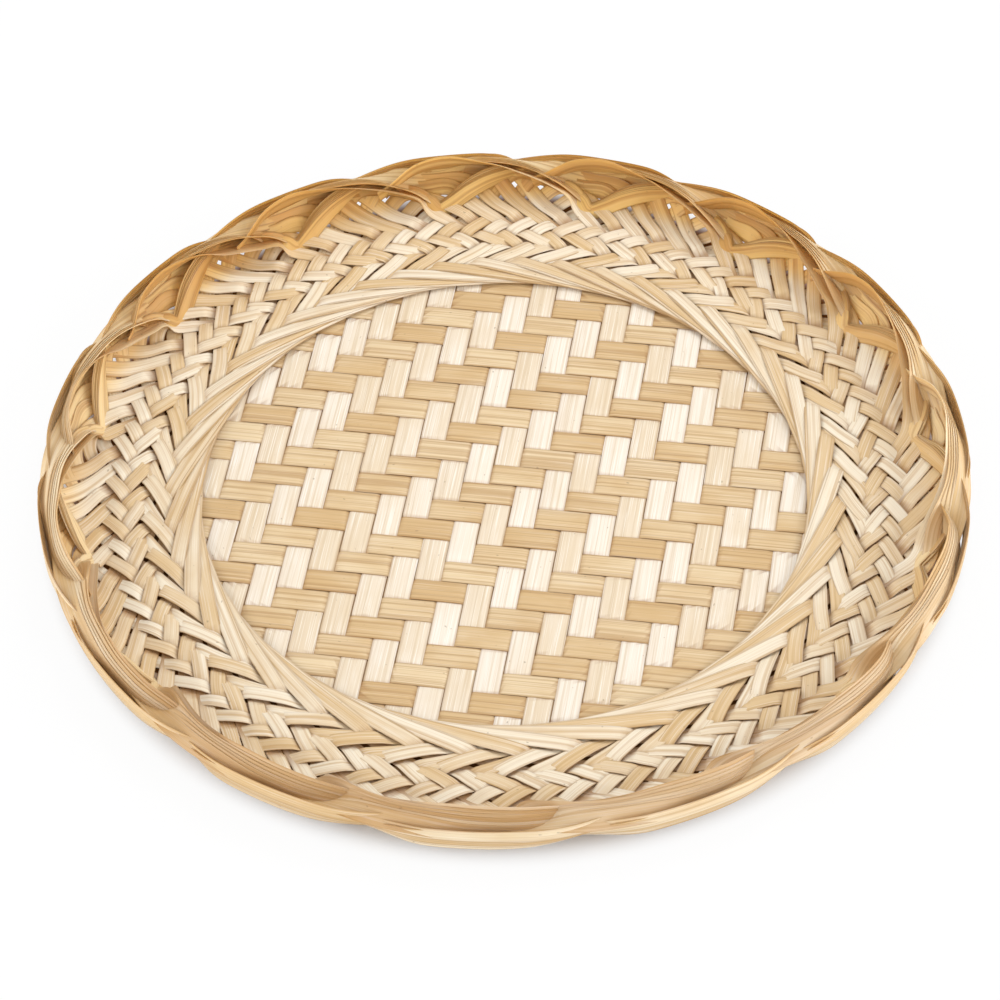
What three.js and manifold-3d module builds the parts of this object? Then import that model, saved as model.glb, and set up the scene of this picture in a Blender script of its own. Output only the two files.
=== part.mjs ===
// A round bamboo tray: a flat twill mat, a wall of 45 doubled splints that cross in rings, and a plaited rim.
// Millimetres, +Z up, origin at the centre of the mat on the surface that the tray stands on.
// X runs along the wefts of the mat, Y along its warps. Anticlockwise is seen from above.
import * as THREE from "three";
import { mergeVertices } from "three/addons/utils/BufferGeometryUtils.js";
import Module from "manifold-3d";

const { clamp, lerp } = THREE.MathUtils;
const wasm = await Module();
wasm.setup();

// Driving dimensions of the mat
const MAT_RADIUS = 98; // what shows inside the wall
const MAT_HIDDEN = 3.5; // how far the mat reaches under the wall
const WARP_PITCH = 8.5;
const WEFT_PITCH = 9.0;
const STRIP_GAP = 0.5; // between neighbours in the mat
const MAT_THICKNESS = 0.35; // of one strip
const WARP_SHIFT = -1; // the warp nearest the centre
const WEFT_SHIFT = -3.4; // the weft nearest the centre
const TWILL = 4; // over two, under two

// Driving dimensions of the wall
const CLEARANCE = 0.15; // between layers that touch
const SPLINT_WIDTH = 4.8;
const SPLINT_THICKNESS = 0.35; // of one doubled splint
const BUNDLES = 15;
const SPLINTS_PER_BUNDLE = 3;
const FIRST_NOTCH = 14; // degrees
const DRIFT = 4.7; // degrees, how unevenly the rim was spaced by hand
const DRIFT_FROM = 96.6; // degrees, where the spacing is tightest
const RAMP = 0.25; // half the length in which a splint changes level
const LAP_TURN = 16; // degrees, where the closed band is at its full height
const LAP_TILT = 0.42; // half the height between the two edges of a lapped splint
const FAN_WIDTH = 5.6; // a doubled splint, fanned out under the rim
const BAND_HEIGHT = 2.65; // middle of the closed band
const RING_HEIGHT = 2.3; // middle of the woven rings
const FLAT_RADIUS = 112; // where the woven rings begin to rise
const NOTCH_RADIUS = 134;
const NOTCH_HEIGHT = 3.6;

// Driving dimensions of the rim
const RIM_RADIUS = 150.3; // outermost
const CREST_RADIUS = 146; // middle of an arch at its top
const CREST_HEIGHT = 17.2; // middle of an arch at its top
const CREST_TURN = 20; // degrees from the notch
const CREST_FALL = 0.052; // how fast an arch drops past its top
const CREST_DRAW = 0.1; // how far an arch draws in for each degree past its top
const ARCH_START = 3.5; // degrees from the notch to its foot
const ARCH_TURN = 31; // degrees from the notch to the tucked end
const ARCH_WIDTH = 9;
const ARCH_THICKNESS = 1.3;
const ARCH_TWIST = 3.6; // degrees of tilt for each degree round the rim
const RISER_LIFT = 2; // of a riser's foot over an arch's foot
const RISER_TURN = 16; // degrees from the notch to where the riser has come outside
const HUMP_TURN = 33; // degrees from the notch to the end of the outer scallop
const HUMP_WIDTH = 6.9;
const HUMP_THICKNESS = 1.2;
const HUMP_HEIGHT = 9.3; // middle of the outer scallop
const FOOT_WIDTH = 5.5; // of an arch or a riser at its notch
const FOOT_SPLINT = 3.4; // width of a splint where it is drawn into a riser
const FOOT_TURN = 8; // degrees in which an arch or a riser comes to its full width
const FOOT_TILT = 25; // degrees, the slope of the wall at the notch
const RIM_CURL = 0.08; // how fast the wall steepens above the notch
const GATHER_LIFT = 0.45; // of the gathered splints from the middle of the weave
const RIM_STEPS = 8;

// Worked out from these
const TURN = 360 / (BUNDLES * SPLINTS_PER_BUNDLE); // degrees from splint to splint
const HALF_TURN = TURN / 2;
const STEP = 360 / BUNDLES;
const MID_RADIUS = MAT_RADIUS + SPLINT_WIDTH / 2;
const SLOT_RADIUS = MID_RADIUS / cos(HALF_TURN); // the slots between splints are lines at this distance
const LIFT = SPLINT_THICKNESS + CLEARANCE;
const MAT_LIFT = MAT_THICKNESS + CLEARANCE;
const EDGE_RADIUS = MAT_RADIUS + MAT_HIDDEN;
const DISC_SIDES = 90;
const LEAN = 10.6; // degrees from the middle of a gathered group to its notch, at the notch radius
const NOTCH_TURN = Math.round(acos(MID_RADIUS / NOTCH_RADIUS) + LEAN); // from a group's middle splint

function cos(degrees) {
  return Math.cos(THREE.MathUtils.degToRad(degrees));
}

function sin(degrees) {
  return Math.sin(THREE.MathUtils.degToRad(degrees));
}

function tan(degrees) {
  return Math.tan(THREE.MathUtils.degToRad(degrees));
}

function acos(ratio) {
  return THREE.MathUtils.radToDeg(Math.acos(ratio));
}

// A flat ribbon through sections, each a left point, a right point and the way that the thickness goes.
function ribbon(sections) {
  const points = [];
  for (const { left, right, thickness } of sections) {
    const half = thickness.clone().multiplyScalar(0.5);
    points.push(left.clone().sub(half), right.clone().sub(half));
    points.push(right.clone().add(half), left.clone().add(half));
  }
  const faces = [[0, 3, 2], [0, 2, 1]];
  const last = points.length - 4;
  for (let ring = 0; ring < last; ring += 4) {
    for (let side = 0; side < 4; side += 1) {
      const a = ring + side;
      const b = ring + ((side + 1) % 4);
      faces.push([a, b, b + 4], [a, b + 4, a + 4]);
    }
  }
  faces.push([last, last + 1, last + 2], [last, last + 2, last + 3]);
  const geometry = new THREE.BufferGeometry().setFromPoints(points);
  geometry.setIndex(faces.flat());
  return geometry;
}

// A closed geometry as a solid that can be joined and cut.
function solid(geometry) {
  const bare = geometry.clone();
  bare.deleteAttribute("normal");
  bare.deleteAttribute("uv");
  const merged = mergeVertices(bare, 1e-4);
  const made = new wasm.Manifold(
    new wasm.Mesh({
      numProp: 3,
      vertProperties: merged.attributes.position.array,
      triVerts: new Uint32Array(merged.index.array),
    }),
  );
  return made;
}

function geometryOf(body) {
  const { vertProperties, triVerts } = body.getMesh();
  const geometry = new THREE.BufferGeometry();
  geometry.setAttribute("position", new THREE.BufferAttribute(vertProperties, 3));
  geometry.setIndex(new THREE.BufferAttribute(triVerts, 1));
  return geometry;
}

function piece(name, geometry, material) {
  geometry.computeVertexNormals();
  const mesh = new THREE.Mesh(geometry, material.clone());
  mesh.name = name;
  return mesh;
}

const UP = new THREE.Vector3(0, 0, 1);
const warpBamboo = new THREE.MeshStandardMaterial({ color: 0xf3e4c6, roughness: 0.55, metalness: 0 });
const weftBamboo = new THREE.MeshStandardMaterial({ color: 0xddbd85, roughness: 0.6, metalness: 0 });
const wallBamboo = new THREE.MeshStandardMaterial({ color: 0xe6c48c, roughness: 0.5, metalness: 0 });

// Mat

const WEFT_HEIGHT = MAT_LIFT + MAT_THICKNESS / 2;

// True where the warp lies on the weft.
function warpOnTop(warp, weft) {
  return (((warp - weft) % TWILL) + TWILL) % TWILL < TWILL / 2;
}

// The mat's own outline, which trims every strip round.
function matDisc() {
  const profile = [
    new THREE.Vector2(0, -1),
    new THREE.Vector2(EDGE_RADIUS, -1),
    new THREE.Vector2(EDGE_RADIUS, WEFT_HEIGHT + MAT_LIFT + 1),
    new THREE.Vector2(0, WEFT_HEIGHT + MAT_LIFT + 1),
  ];
  return solid(new THREE.LatheGeometry(profile, DISC_SIDES).rotateX(Math.PI / 2));
}

// A warp climbs over two wefts and dips under the next two, in the slots between them.
function warpGeometry(warp, first, last) {
  const x = warp * WARP_PITCH + WARP_SHIFT;
  const half = (WARP_PITCH - STRIP_GAP) / 2;
  const thickness = UP.clone().multiplyScalar(MAT_THICKNESS);
  const sections = [];
  const add = (y, height) => {
    const left = new THREE.Vector3(x + half, y, height);
    const right = new THREE.Vector3(x - half, y, height);
    sections.push({ left, right, thickness });
  };
  const levelAt = (weft) => WEFT_HEIGHT + (warpOnTop(warp, weft) ? MAT_LIFT : -MAT_LIFT);
  const slotAfter = (weft) => (weft + 0.5) * WEFT_PITCH + WEFT_SHIFT;
  add(slotAfter(first - 1), levelAt(first));
  for (let weft = first; weft < last; weft += 1) {
    if (warpOnTop(warp, weft) === warpOnTop(warp, weft + 1)) continue;
    add(slotAfter(weft) - STRIP_GAP / 2, levelAt(weft));
    add(slotAfter(weft) + STRIP_GAP / 2, levelAt(weft + 1));
  }
  add(slotAfter(last), levelAt(last));
  return ribbon(sections);
}

function weftGeometry(weft) {
  const y = weft * WEFT_PITCH + WEFT_SHIFT;
  const box = new THREE.BoxGeometry(2.2 * EDGE_RADIUS, WEFT_PITCH - STRIP_GAP, MAT_THICKNESS);
  return box.translate(0, y, WEFT_HEIGHT);
}

// Every strip number whose middle line crosses the mat.
function stripNumbers(pitch, shift, width) {
  const numbers = [];
  const reach = EDGE_RADIUS - width / 4;
  for (let n = Math.ceil((-reach - shift) / pitch); n * pitch + shift <= reach; n += 1) numbers.push(n);
  return numbers;
}

function makeMat() {
  const mat = new THREE.Group();
  const disc = matDisc();
  const warps = stripNumbers(WARP_PITCH, WARP_SHIFT, WARP_PITCH - STRIP_GAP);
  const wefts = stripNumbers(WEFT_PITCH, WEFT_SHIFT, WEFT_PITCH - STRIP_GAP);
  const firstWeft = wefts[0] - 1;
  const lastWeft = wefts[wefts.length - 1] + 1;
  warps.forEach((warp, n) => {
    const cut = solid(warpGeometry(warp, firstWeft, lastWeft)).intersect(disc);
    mat.add(piece(`mat_warp_${String(n + 1).padStart(2, "0")}`, geometryOf(cut), warpBamboo));
  });
  wefts.forEach((weft, n) => {
    const cut = solid(weftGeometry(weft)).intersect(disc);
    mat.add(piece(`mat_weft_${String(n + 1).padStart(2, "0")}`, geometryOf(cut), weftBamboo));
  });
  return mat;
}

// Wall

// Height of the middle of the weave at a distance from the centre: flat, then rising into the rim.
function wallHeight(radius) {
  const rise = Math.max(0, (radius - FLAT_RADIUS) / (NOTCH_RADIUS - FLAT_RADIUS));
  const beyond = Math.max(0, radius - NOTCH_RADIUS);
  return RING_HEIGHT + (NOTCH_HEIGHT - RING_HEIGHT) * rise * rise + RIM_CURL * beyond * beyond;
}

// Half the width of a doubled splint at a distance along it: parallel at first, then fanned out.
function halfWidth(along) {
  const rings = MID_RADIUS * tan(7.5 * HALF_TURN);
  const fanned = MID_RADIUS * tan(9 * HALF_TURN);
  const share = clamp((along - rings) / (fanned - rings), 0, 1);
  return lerp(SPLINT_WIDTH, FAN_WIDTH, share) / 2;
}

// The point where one edge of a splint meets a slot between two splints of the other way.
// edge is -1 for the inner edge and 1 for the outer one, row counts crossings from the tangent point.
function edgePoint(edge, row, shift) {
  const angle = (2 * row) * HALF_TURN;
  let along = MID_RADIUS * tan(row * HALF_TURN);
  let across = MID_RADIUS;
  for (let pass = 0; pass < 4; pass += 1) {
    across = MID_RADIUS + edge * halfWidth(along);
    along = (SLOT_RADIUS + shift - across * cos(angle)) / sin(angle);
  }
  return new THREE.Vector2(across, along);
}

// One half of a splint from its tangent point out to the rim. side is 1 for the anticlockwise half.
function halfSections(side) {
  const sections = [];
  const thickness = UP.clone().multiplyScalar(SPLINT_THICKNESS);
  const add = (inner, outer, innerHeight, outerHeight) => {
    const low = new THREE.Vector3(inner.x, side * inner.y, innerHeight);
    const high = new THREE.Vector3(outer.x, side * outer.y, outerHeight);
    sections.push({ left: high, right: low, thickness });
  };
  const lapHeight = (LIFT * LAP_TURN) / TURN;
  const lapEnd = MID_RADIUS * tan(LAP_TURN);
  const lapInner = new THREE.Vector2(MAT_RADIUS, lapEnd);
  const lapOuter = new THREE.Vector2(MAT_RADIUS + SPLINT_WIDTH, lapEnd);
  const height = BAND_HEIGHT + side * lapHeight;
  add(lapInner, lapOuter, height, height);
  const slot = (row, shift, over) => {
    const inner = edgePoint(-1, row, shift);
    const outer = edgePoint(1, row, shift);
    if (over === null) {
      add(inner, outer, height + side * LAP_TILT, height - side * LAP_TILT);
      return;
    }
    const level = (side * over * LIFT) / 2;
    add(inner, outer, wallHeight(inner.length()) + level, wallHeight(outer.length()) + level);
  };
  slot(5.5, -RAMP, null);
  slot(5.5, RAMP, -1);
  slot(7.5, -RAMP, -1);
  slot(7.5, RAMP, 1);
  slot(8.5, -RAMP, 1);
  slot(8.5, RAMP, -1);
  slot(9.5, -RAMP, -1);
  slot(9.5, RAMP, 1);
  return sections;
}

// A section of a member that runs round the rim, at a turn, a radius and a height, tilted outwards by a slope.
function rimSection(turn, radius, height, slope, width, thickness) {
  const place = (across, above) => {
    const out = radius + across * cos(slope) - above * sin(slope);
    const up = height + across * sin(slope) + above * cos(slope);
    return new THREE.Vector3(out * cos(turn), out * sin(turn), up);
  };
  const left = place(width / 2, 0);
  const right = place(-width / 2, 0);
  return { left, right, thickness: place(0, thickness).sub(place(0, 0)) };
}

// A section of a splint that lies along the wall, at a turn and a radius, raised from the middle of the weave.
function wallSection(turn, radius, lift, width) {
  const edge = (across) => {
    const out = radius + across;
    return new THREE.Vector3(out * cos(turn), out * sin(turn), wallHeight(out) + lift);
  };
  const thickness = UP.clone().multiplyScalar(SPLINT_THICKNESS);
  return { left: edge(width / 2), right: edge(-width / 2), thickness };
}

// The anticlockwise halves of a group pass behind its riser and end inside its arch, one after another.
function joinArch(place) {
  const section = (turn, out, lift, width) =>
    wallSection(NOTCH_TURN + turn, NOTCH_RADIUS + out, lift, width);
  if (place === -1) {
    return [
      section(-19.3, -2.7, 0.45, SPLINT_WIDTH),
      section(-10, 0, 0.1, SPLINT_WIDTH),
      section(-2, 4, -1.5, SPLINT_WIDTH),
      section(9, 7.5, 1.2, SPLINT_WIDTH),
    ];
  }
  if (place === 0) {
    return [
      section(-11.3, -2.7, 0.7, SPLINT_WIDTH),
      section(-4, 0.5, -0.3, SPLINT_WIDTH),
      section(1.2, 3, -0.8, SPLINT_WIDTH),
      section(6.5, 5.3, 0.4, SPLINT_WIDTH),
    ];
  }
  return [
    section(-2.5, -2.2, 0.45, SPLINT_WIDTH),
    section(1.5, 1.2, -1.6, SPLINT_WIDTH),
    section(5, 3.4, 0.2, SPLINT_WIDTH),
  ];
}

function archGeometry() {
  const sections = [];
  for (let step = 0; step <= RIM_STEPS; step += 1) {
    const turn = lerp(ARCH_START, ARCH_TURN, step / RIM_STEPS);
    const climb = Math.min(1, (turn - ARCH_START) / (CREST_TURN - ARCH_START));
    const past = Math.max(0, turn - CREST_TURN);
    const radius = lerp(NOTCH_RADIUS + 2.8, CREST_RADIUS, 1 - (1 - climb) ** 1.2) - CREST_DRAW * past;
    const height = lerp(NOTCH_HEIGHT, CREST_HEIGHT, sin(90 * climb ** 0.85)) - CREST_FALL * past * past;
    const width = lerp(FOOT_WIDTH, ARCH_WIDTH, Math.min(1, turn / FOOT_TURN));
    const slope = FOOT_TILT - ARCH_TWIST * turn;
    sections.push(rimSection(NOTCH_TURN + turn, radius, height, slope, width, ARCH_THICKNESS));
  }
  return ribbon(sections);
}

// The riser climbs clockwise from its notch, passes under the last arch and lies outside as a scallop.
function riserGeometry() {
  const sections = [];
  const notch = TURN - NOTCH_TURN;
  const outside = RIM_RADIUS - HUMP_THICKNESS / 2;
  for (let step = 0; step <= RIM_STEPS + 1; step += 1) {
    const turn = step <= 5 ? (RISER_TURN * step) / 5 : lerp(RISER_TURN, HUMP_TURN, (step - 5) / (RIM_STEPS - 4));
    const share = Math.min(1, turn / RISER_TURN);
    const radius = lerp(NOTCH_RADIUS, outside, share * share * (3 - 2 * share));
    const height = lerp(NOTCH_HEIGHT + RISER_LIFT, HUMP_HEIGHT, sin(90 * Math.min(1, turn / FOOT_TURN)));
    const width = lerp(FOOT_WIDTH, HUMP_WIDTH, Math.min(1, turn / FOOT_TURN));
    const slope = lerp(FOOT_TILT, 90, share);
    sections.push(rimSection(notch - turn, radius, height, slope, width, HUMP_THICKNESS));
  }
  return ribbon(sections.reverse());
}

// The clockwise halves run under the wall's top row to their notch.
function joinRiser(place) {
  const notch = place === -1 ? TURN - NOTCH_TURN - STEP : TURN - NOTCH_TURN;
  const section = (turn, out, lift, width) => wallSection(notch + turn, NOTCH_RADIUS + out, lift, width);
  if (place === 0) {
    return [section(2.6, -1.8, -0.1, FOOT_SPLINT), section(-1, 0.3, 2, FOOT_SPLINT)];
  }
  if (place === 1) {
    return [
      section(11.2, -2.4, -GATHER_LIFT, 0.8 * FAN_WIDTH),
      section(2.6, -2.6, -0.5, FOOT_SPLINT),
      section(-1, -0.7, 1.5, FOOT_SPLINT),
    ];
  }
  return [
    section(19.5, -2.8, -1.1, 0.8 * FAN_WIDTH),
    section(4, -2, -1.1, SPLINT_WIDTH),
  ];
}

function splintGeometry(place) {
  const chord = [...halfSections(-1).reverse(), ...halfSections(1)];
  for (const { left, right } of chord) {
    left.applyAxisAngle(UP, THREE.MathUtils.degToRad(place * TURN));
    right.applyAxisAngle(UP, THREE.MathUtils.degToRad(place * TURN));
  }
  return ribbon([...joinRiser(place).reverse(), ...chord, ...joinArch(place)]);
}

// The plait was spaced by eye, so the turns are a little closer on one side of the tray than on the other.
function drifted(geometry) {
  const position = geometry.getAttribute("position");
  const point = new THREE.Vector3();
  for (let n = 0; n < position.count; n += 1) {
    point.fromBufferAttribute(position, n);
    const angle = THREE.MathUtils.radToDeg(Math.atan2(point.y, point.x));
    point.applyAxisAngle(UP, THREE.MathUtils.degToRad(-DRIFT * sin(angle - DRIFT_FROM)));
    position.setXYZ(n, point.x, point.y, point.z);
  }
  return geometry;
}

function bundleGeometry() {
  let bundle = solid(archGeometry()).add(solid(riserGeometry()));
  for (const place of [-1, 0, 1]) bundle = bundle.add(solid(splintGeometry(place)));
  return geometryOf(bundle);
}

function makeWall() {
  const wall = new THREE.Group();
  const master = bundleGeometry();
  for (let bundle = 0; bundle < BUNDLES; bundle += 1) {
    const turn = FIRST_NOTCH - NOTCH_TURN + bundle * STEP;
    const copy = master.clone().rotateZ(THREE.MathUtils.degToRad(turn));
    const name = `splint_bundle_${String(bundle + 1).padStart(2, "0")}`;
    wall.add(piece(name, drifted(copy), wallBamboo));
  }
  return wall;
}

const tray = new THREE.Group();
tray.add(makeMat());
tray.add(makeWall());
export default tray;
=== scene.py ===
# %% [markdown]
# A round bamboo tray, dressed for its picture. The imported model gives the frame: where
# the tray stands, how wide it is and how high its rim comes. Everything below is placed
# in that frame and stays inside its box. The tray's own sizes are written in
# millimetres and turned into metres where a piece is made, and angles are in degrees.

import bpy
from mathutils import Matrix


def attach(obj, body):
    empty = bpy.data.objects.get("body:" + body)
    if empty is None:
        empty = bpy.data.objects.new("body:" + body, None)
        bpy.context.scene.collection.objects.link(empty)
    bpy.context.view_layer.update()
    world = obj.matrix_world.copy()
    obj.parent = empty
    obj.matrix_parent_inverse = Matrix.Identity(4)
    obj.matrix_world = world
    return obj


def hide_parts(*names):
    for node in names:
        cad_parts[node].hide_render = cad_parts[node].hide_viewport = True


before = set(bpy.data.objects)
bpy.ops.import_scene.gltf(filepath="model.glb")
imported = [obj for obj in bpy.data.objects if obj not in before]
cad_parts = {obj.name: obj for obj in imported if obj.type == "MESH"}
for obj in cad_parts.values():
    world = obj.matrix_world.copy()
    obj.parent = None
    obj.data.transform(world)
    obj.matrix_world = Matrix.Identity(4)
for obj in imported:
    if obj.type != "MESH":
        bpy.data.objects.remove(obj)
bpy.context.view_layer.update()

# %% Shared tools
import math

import bpy
import numpy as np
from mathutils import Matrix, Vector

MM = 0.001


def smooth(low, high, x):
    """0 up to low, 1 from high on, and an easy curve between. low may be the larger number."""
    share = np.clip((np.asarray(x, float) - low) / (high - low), 0, 1)
    return share * share * (3 - 2 * share)


def polar(angle, radius=1.0):
    """x and y at an angle and a distance from the centre."""
    return radius * np.cos(np.radians(angle)), radius * np.sin(np.radians(angle))


def srgb(code):
    """A colour written as on a paint card, turned into the light values that shaders mix."""
    parts = [int(code[k : k + 2], 16) / 255 for k in (1, 3, 5)]
    return tuple(p / 12.92 if p < 0.04045 else ((p + 0.055) / 1.055) ** 2.4 for p in parts) + (1.0,)


print("tools ready")

# %% [markdown]
# The camera comes first, because every later choice is judged through it. The tray was
# seen from about 47 degrees up and from far away with a long lens, which keeps the near
# and the far rim nearly the same size. A little roll and an off-centre aim bring the
# mat's middle to its own place in the picture.

# %% Camera
AZIMUTH, ELEVATION, ROLL = 8.7, 47.05, -1.04
DISTANCE = 1.274  # metres from the middle of the mat's top
FOCAL_PIXELS, PICTURE_PIXELS, FILM_WIDTH = 3929.25, 1000, 36
AIM = (4.85, -4.9)  # pixels right and down from the middle, where the mat's centre shows
MAT_TOP = 1.35 * MM
FARTHEST_SEEN = 20  # metres, past the floor's far edge


def camera_axes(azimuth, elevation, roll):
    """Right, up and back of a camera that looks at the tray."""
    a, e, r = (math.radians(v) for v in (azimuth, elevation, roll))
    back = Vector((math.sin(a) * math.cos(e), -math.cos(a) * math.cos(e), math.sin(e)))
    right = Vector((math.cos(a), math.sin(a), 0))
    up = back.cross(right)
    return right * math.cos(r) + up * math.sin(r), up * math.cos(r) - right * math.sin(r), back


right, up, back = camera_axes(AZIMUTH, ELEVATION, ROLL)
camera = bpy.data.objects.new("camera", bpy.data.cameras.new("camera"))
bpy.context.scene.collection.objects.link(camera)
camera.data.sensor_width = FILM_WIDTH
camera.data.lens = FOCAL_PIXELS / PICTURE_PIXELS * FILM_WIDTH
camera.data.clip_end = FARTHEST_SEEN
metres_per_pixel = DISTANCE / FOCAL_PIXELS
aside = right * (AIM[0] * metres_per_pixel) - up * (AIM[1] * metres_per_pixel)
stand = Vector((0, 0, MAT_TOP)) + back * DISTANCE - aside
camera.matrix_world = Matrix.Translation(stand) @ Matrix((right, up, back)).transposed().to_4x4()
bpy.context.scene.camera = camera
print("lens", round(camera.data.lens, 1), "mm")

# %% [markdown]
# Shader sums are easier to read as Python. A small class wraps a socket, so that
# `1 - mask` or `grain * 0.3` adds the Math node for it, and one method adds any other
# node by its type, its settings and the values of its sockets.

# %% Shader sums
class Signal:
    """One output socket that can be used in Python sums."""

    def __init__(self, paint, socket):
        self.paint, self.socket = paint, socket

    def __add__(self, other):
        return self.paint.maths("ADD", self, other)

    def __radd__(self, other):
        return self.paint.maths("ADD", other, self)

    def __sub__(self, other):
        return self.paint.maths("SUBTRACT", self, other)

    def __rsub__(self, other):
        return self.paint.maths("SUBTRACT", other, self)

    def __mul__(self, other):
        return self.paint.maths("MULTIPLY", self, other)

    def __rmul__(self, other):
        return self.paint.maths("MULTIPLY", other, self)


class Paint:
    """The nodes of a material or of the world, mixed one by one."""

    def __init__(self, owner):
        owner.use_nodes = True
        self.owner, self.tree = owner, owner.node_tree
        self.tree.nodes.clear()

    def add(self, kind, settings=None, inputs=None, output=0):
        """A node of any kind, with its settings and its sockets' values or links."""
        node = self.tree.nodes.new(kind)
        for key, value in (settings or {}).items():
            setattr(node, key, value)
        for key, value in (inputs or {}).items():
            if isinstance(value, Signal):
                self.tree.links.new(value.socket, node.inputs[key])
            else:
                node.inputs[key].default_value = value
        return Signal(self, node.outputs[output]) if node.outputs else None

    def maths(self, kind, *values):
        return self.add("ShaderNodeMath", {"operation": kind}, dict(enumerate(values)))

    def ramp(self, signal, low, high):
        """A signal stretched so that low becomes 0 and high becomes 1."""
        return self.add(
            "ShaderNodeMapRange",
            {"clamp": True, "interpolation_type": "SMOOTHSTEP"},
            {"Value": signal, "From Min": low, "From Max": high, "To Min": 0.0, "To Max": 1.0},
        )

    def mix(self, share, first, second):
        """Two colours mixed by a share."""
        return self.add("ShaderNodeMix", {"data_type": "RGBA"}, {0: share, 6: first, 7: second}, output=2)

    def blend(self, share, first, second):
        """Two shaders mixed by a share."""
        return self.add("ShaderNodeMixShader", {}, {0: share, 1: first, 2: second})

    def noise(self, place, along, across, detail, offset=0.0):
        """Noise drawn out along a splint. along and across are features per centimetre."""
        spot = self.add(
            "ShaderNodeMapping",
            {},
            {"Vector": place, "Scale": (along, across, 1.0), "Location": (offset, offset, offset)},
        )
        return self.add(
            "ShaderNodeTexNoise",
            {"noise_dimensions": "2D"},
            {"Vector": spot, "Scale": 1.0, "Detail": detail},
        )

    def finish(self, shader, output="ShaderNodeOutputMaterial"):
        """The output node. Returns the material or world that is now mixed."""
        self.add(output, {}, {"Surface": shader})
        return self.owner


print("shader sums ready")

# %% [markdown]
# Split bamboo is a bundle of straight fibres. Close up it shows fine lines along its
# length, a slow drift of colour and a few dark specks where a fibre was bruised. Its
# edges are painted browner, as painted shade where one splint meets the next, and pale
# streaks are a painted sheen. A picture of bamboo would stretch and repeat on so many
# strips, so noise is drawn out along each splint instead. It reads the splint's own
# map: centimetres along it and across it.

# %% Fibres and marks
FACTOR = 2  # the Attribute node's output for a plain number


def fibres(paint, broad_lines, fine_lines):
    """Five noises along a splint: broad lines, fine lines, drift of colour, specks and gloss."""
    place = paint.add("ShaderNodeUVMap", {"uv_map": "splint"})
    return (
        paint.noise(place, along=0.06, across=broad_lines, detail=2.0),
        paint.noise(place, along=0.10, across=fine_lines, detail=2.0, offset=3.1),
        paint.noise(place, along=0.45, across=1.1, detail=3.0, offset=7.7),
        paint.noise(place, along=4.0, across=6.5, detail=1.0, offset=11.3),
        paint.noise(place, along=0.35, across=30.0, detail=2.0, offset=17.9),
    )


def mark(paint, name):
    """One of a splint's own marks, as a signal."""
    return paint.add("ShaderNodeAttribute", {"attribute_name": name}, output=FACTOR)


print("fibres and marks ready")

# %% [markdown]
# Four marks carry what differs from place to place: `tone` is the natural shade of that
# splint, the golden mark is painted shade, how golden a splint is painted where it lies
# stacked in the rim's shade and on the sides that look inwards, `edge` is 1 along the two
# cut edges, where painted shade darkens the lines between neighbours, and `under` is
# painted shade that grows where a splint dives under its neighbour. Thin bamboo also
# lets some light through, most of all at the golden rim, so a little translucent shader
# is mixed in there.

# %% Bamboo
# Colours of painted light: a deeper gold and golden fibre lines for the rim's painted shade, brown for
# painted shade along the edges and under neighbours, and white for a painted sheen. BRUISE is the colour of
# real bruised specks.
DEEP_SHADE_GOLD, GOLDEN_LINE = srgb("#E4B86C"), srgb("#B8873F")
EDGE_SHADE, PAINTED_SHEEN = srgb("#96682F"), srgb("#FFFBF3")
BRUISE, DEEP_SHADE = srgb("#8F7457"), srgb("#9C6428")


def bamboo(name, pale, deep, line, shade_gold, lines, line_share, roughness, sheen):
    """Split bamboo. lines are its broad and its fine fibre lines per centimetre of width."""
    pale, deep, line, shade_gold = (srgb(code) for code in (pale, deep, line, shade_gold))
    paint = Paint(bpy.data.materials.new(name))
    broad, fine, drift, specks, gloss = fibres(paint, *lines)
    tone, shade, edge, under = (mark(paint, which) for which in ("tone", "shade_gold", "edge", "under"))
    lined = paint.ramp(broad, 0.47, 0.68) * line_share
    hair = paint.ramp(fine, 0.52, 0.72) * (line_share * 0.7)
    base = paint.mix(paint.ramp(drift * 0.6 + tone * 0.7, 0.35, 0.95), pale, deep)
    base = paint.mix(lined, base, line)
    base = paint.mix(hair, base, line)
    # Painted shade: the golden colour where the splint lies in the rim's shade.
    golden = paint.mix(paint.ramp(drift * 0.5 + tone * 0.8, 0.3, 1.1), shade_gold, DEEP_SHADE_GOLD)
    golden = paint.mix((lined + hair) * 1.3, golden, GOLDEN_LINE)
    base = paint.mix(shade * 0.92, base, golden)
    # Painted shade: the edges darker where neighbours meet, more in the rim's shade.
    base = paint.mix(edge * (shade * 0.3 + 0.45), base, EDGE_SHADE)
    # Painted sheen: white streaks along the fibres, fewer in the golden shade.
    base = paint.mix(paint.ramp(gloss, 0.52, 0.74) * (1 - shade * 0.75) * sheen, base, PAINTED_SHEEN)
    base = paint.mix(paint.ramp(specks, 0.80, 0.86) * 0.5, base, BRUISE)
    # Painted shade: brown where a splint dives under its neighbour.
    base = paint.mix(under * 0.62, base, DEEP_SHADE)
    ridges = {"Strength": 0.35, "Distance": 0.12 * MM, "Height": broad * 0.5 + fine * 0.5}
    solid = paint.add(
        "ShaderNodeBsdfPrincipled",
        {},
        {
            "Base Color": base,
            "Roughness": paint.ramp(fine, 0.2, 0.8) * 0.14 + roughness,
            "Normal": paint.add("ShaderNodeBump", {}, ridges),
            "Specular IOR Level": 0.32,
            "Coat Weight": 0.08,
            "Coat Roughness": 0.35,
        },
    )
    through = paint.add("ShaderNodeBsdfTranslucent", {}, {"Color": shade_gold})
    return paint.finish(paint.blend(shade * 0.38 + 0.08, solid, through))


print("bamboo can be mixed")
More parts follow.
